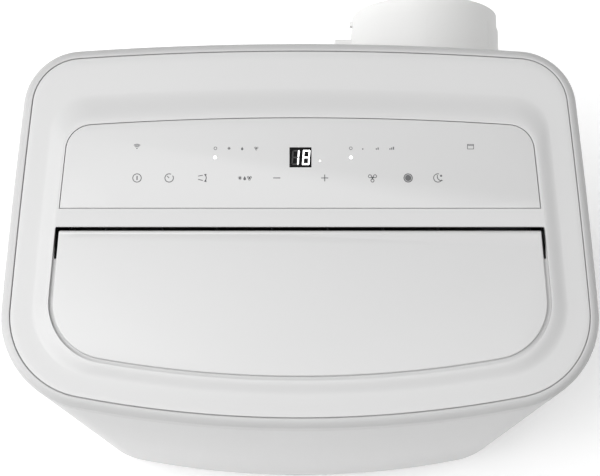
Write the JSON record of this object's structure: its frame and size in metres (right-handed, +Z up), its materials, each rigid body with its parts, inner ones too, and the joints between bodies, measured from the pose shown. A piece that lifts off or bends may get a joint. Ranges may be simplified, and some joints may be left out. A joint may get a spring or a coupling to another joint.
{
  "type": "portable air conditioner",
  "caption": "Floor-standing cabinet on casters with a slightly raised top, flush touch panel, hinged air-outlet flap, rear intake grilles and a round rear exhaust adapter.",
  "frame": {"origin": "on the floor, under the centre of the whole object's bounding box", "axes": "+Z up, front (flap side) towards -Y, exhaust towards +Y, +X to the right seen from the front"},
  "size_m": [0.5046, 0.4412, 0.744],
  "materials": {
    "shell_white": "satin",
    "panel_white": "satin",
    "display_black": "gloss",
    "black_plastic": "satin",
    "dark_plastic": "satin",
    "grey_plastic": "satin",
    "natural_plastic": "matte",
    "filter_mesh": "matte",
    "fin_aluminium": "satin",
    "copper": "satin",
    "compressor_black": "satin",
    "steel": "satin",
    "can_aluminium": "satin",
    "caster_tread": "satin",
    "grommet_rubber": "matte",
    "board_green": "satin"
  },
  "bodies": {
    "cabinet": {"top_frame": "shell_white", "top_panel": "shell_white", "control_panel": "panel_white", "display_module": "display_black", "control_board": "board_green", "outlet_frame": "dark_plastic", "flap_motor": "steel", "front_casing": "shell_white", "rear_casing": "shell_white", "base_pan": "black_plastic", "handle_left": "grey_plastic", "handle_right": "grey_plastic", "exhaust_collar": "shell_white", "exhaust_plenum": "natural_plastic", "upper_volute": "natural_plastic", "upper_fan_motor": "steel", "lower_volute": "natural_plastic", "lower_fan_motor": "steel", "discharge_duct": "natural_plastic", "evaporator": "fin_aluminium", "condenser": "fin_aluminium", "drain_tray": "natural_plastic", "partition": "natural_plastic", "compressor": "compressor_black", "compressor_grommets": "grommet_rubber", "refrigerant_pipes": "copper", "control_box": "steel", "run_capacitor": "can_aluminium", "splash_motor": "steel", "cord_gland": "black_plastic", "cord_cleats": "shell_white", "casing_screws": "steel"},
    "flap": {"flap": "shell_white", "flap_drive_shaft": "steel"},
    "vane_link": {"vane_link": "dark_plastic"},
    "upper_cassette": {"upper_grille": "shell_white", "upper_filter": "filter_mesh"},
    "lower_cassette": {"lower_grille": "shell_white", "lower_filter": "filter_mesh"},
    "exhaust_adapter": {"exhaust_adapter": "shell_white"},
    "upper_drain_plug": {"upper_drain_plug": "grey_plastic"},
    "lower_drain_plug": {"lower_drain_plug": "grey_plastic"},
    "upper_blower": {"upper_blower": "natural_plastic"},
    "lower_blower": {"lower_blower": "natural_plastic"},
    "splash_wheel": {"splash_wheel": "natural_plastic"},
    "vane_1": {"vane_1": "dark_plastic"},
    "vane_2": {"vane_2": "dark_plastic"},
    "vane_3": {"vane_3": "dark_plastic"},
    "vane_4": {"vane_4": "dark_plastic"},
    "vane_5": {"vane_5": "dark_plastic"},
    "vane_6": {"vane_6": "dark_plastic"},
    "vane_7": {"vane_7": "dark_plastic"},
    "caster_1": {"caster_fork_1": "black_plastic"},
    "caster_wheels_1": {"caster_wheels_1": "caster_tread"},
    "caster_2": {"caster_fork_2": "black_plastic"},
    "caster_wheels_2": {"caster_wheels_2": "caster_tread"},
    "caster_3": {"caster_fork_3": "black_plastic"},
    "caster_wheels_3": {"caster_wheels_3": "caster_tread"},
    "caster_4": {"caster_fork_4": "black_plastic"},
    "caster_wheels_4": {"caster_wheels_4": "caster_tread"}
  },
  "joints": [
    {"name": "flap_tilt", "type": "hinge", "parent": "cabinet", "child": "flap", "pos_m": [0, -0.0719, 0.722], "axis": [-1, 0, 0], "range_deg": [0, 70]},
    {"name": "vane_4_swing", "type": "hinge", "parent": "cabinet", "child": "vane_4", "pos_m": [-0.024, -0.0959, 0.698], "axis": [0, -1, 0], "range_deg": [-30, 30]},
    {"name": "vane_1_swing", "type": "hinge", "parent": "cabinet", "child": "vane_1", "pos_m": [-0.168, -0.0959, 0.698], "axis": [0, -1, 0], "range_deg": [-30, 30]},
    {"name": "vane_2_swing", "type": "hinge", "parent": "cabinet", "child": "vane_2", "pos_m": [-0.12, -0.0959, 0.698], "axis": [0, -1, 0], "range_deg": [-30, 30]},
    {"name": "vane_3_swing", "type": "hinge", "parent": "cabinet", "child": "vane_3", "pos_m": [-0.072, -0.0959, 0.698], "axis": [0, -1, 0], "range_deg": [-30, 30]},
    {"name": "vane_5_swing", "type": "hinge", "parent": "cabinet", "child": "vane_5", "pos_m": [0.024, -0.0959, 0.698], "axis": [0, -1, 0], "range_deg": [-30, 30]},
    {"name": "vane_6_swing", "type": "hinge", "parent": "cabinet", "child": "vane_6", "pos_m": [0.072, -0.0959, 0.698], "axis": [0, -1, 0], "range_deg": [-30, 30]},
    {"name": "vane_7_swing", "type": "hinge", "parent": "cabinet", "child": "vane_7", "pos_m": [0.12, -0.0959, 0.698], "axis": [0, -1, 0], "range_deg": [-30, 30]},
    {"name": "vane_link_slide", "type": "slide", "parent": "cabinet", "child": "vane_link", "axis": [1, 0, 0], "range_m": [-0.0052, 0.0052]},
    {"name": "caster_1_swivel", "type": "hinge", "parent": "cabinet", "child": "caster_1", "pos_m": [-0.185, -0.1559, 0.06], "axis": [0, 0, 1], "continuous": true},
    {"name": "caster_1_roll", "type": "hinge", "parent": "caster_1", "child": "caster_wheels_1", "pos_m": [-0.185, -0.1419, 0.02], "axis": [-1, 0, 0], "continuous": true},
    {"name": "caster_2_swivel", "type": "hinge", "parent": "cabinet", "child": "caster_2", "pos_m": [0.185, -0.1559, 0.06], "axis": [0, 0, 1], "continuous": true},
    {"name": "caster_2_roll", "type": "hinge", "parent": "caster_2", "child": "caster_wheels_2", "pos_m": [0.185, -0.1419, 0.02], "axis": [-1, 0, 0], "continuous": true},
    {"name": "caster_3_swivel", "type": "hinge", "parent": "cabinet", "child": "caster_3", "pos_m": [-0.185, 0.0491, 0.06], "axis": [0, 0, 1], "continuous": true},
    {"name": "caster_3_roll", "type": "hinge", "parent": "caster_3", "child": "caster_wheels_3", "pos_m": [-0.185, 0.0631, 0.02], "axis": [-1, 0, 0], "continuous": true},
    {"name": "caster_4_swivel", "type": "hinge", "parent": "cabinet", "child": "caster_4", "pos_m": [0.185, 0.0491, 0.06], "axis": [0, 0, 1], "continuous": true},
    {"name": "caster_4_roll", "type": "hinge", "parent": "caster_4", "child": "caster_wheels_4", "pos_m": [0.185, 0.0631, 0.02], "axis": [-1, 0, 0], "continuous": true},
    {"name": "upper_filter_pull", "type": "slide", "parent": "cabinet", "child": "upper_cassette", "axis": [0, 1, 0], "range_m": [0, 0.06]},
    {"name": "lower_filter_pull", "type": "slide", "parent": "cabinet", "child": "lower_cassette", "axis": [0, 1, 0], "range_m": [0, 0.06]},
    {"name": "exhaust_adapter_pull", "type": "slide", "parent": "cabinet", "child": "exhaust_adapter", "axis": [0, 1, 0], "range_m": [0, 0.06]},
    {"name": "upper_drain_plug_pull", "type": "slide", "parent": "cabinet", "child": "upper_drain_plug", "axis": [0, 1, 0], "range_m": [0, 0.03]},
    {"name": "lower_drain_plug_pull", "type": "slide", "parent": "cabinet", "child": "lower_drain_plug", "axis": [0, 1, 0], "range_m": [0, 0.03]},
    {"name": "upper_blower_spin", "type": "hinge", "parent": "cabinet", "child": "upper_blower", "pos_m": [-0.03, -0.0859, 0.52], "axis": [0, 1, 0], "continuous": true},
    {"name": "lower_blower_spin", "type": "hinge", "parent": "cabinet", "child": "lower_blower", "pos_m": [0.06, 0.0041, 0.22], "axis": [0, 1, 0], "continuous": true},
    {"name": "splash_wheel_spin", "type": "hinge", "parent": "cabinet", "child": "splash_wheel", "pos_m": [-0.09, 0.0341, 0.092], "axis": [0, 1, 0], "continuous": true}
  ],
  "couplings": [
    {"joint": "vane_1_swing", "follows": "vane_link_slide", "rad_per_m": 100},
    {"joint": "vane_2_swing", "follows": "vane_link_slide", "rad_per_m": 100},
    {"joint": "vane_3_swing", "follows": "vane_link_slide", "rad_per_m": 100},
    {"joint": "vane_4_swing", "follows": "vane_link_slide", "rad_per_m": 100},
    {"joint": "vane_5_swing", "follows": "vane_link_slide", "rad_per_m": 100},
    {"joint": "vane_6_swing", "follows": "vane_link_slide", "rad_per_m": 100},
    {"joint": "vane_7_swing", "follows": "vane_link_slide", "rad_per_m": 100}
  ]
}
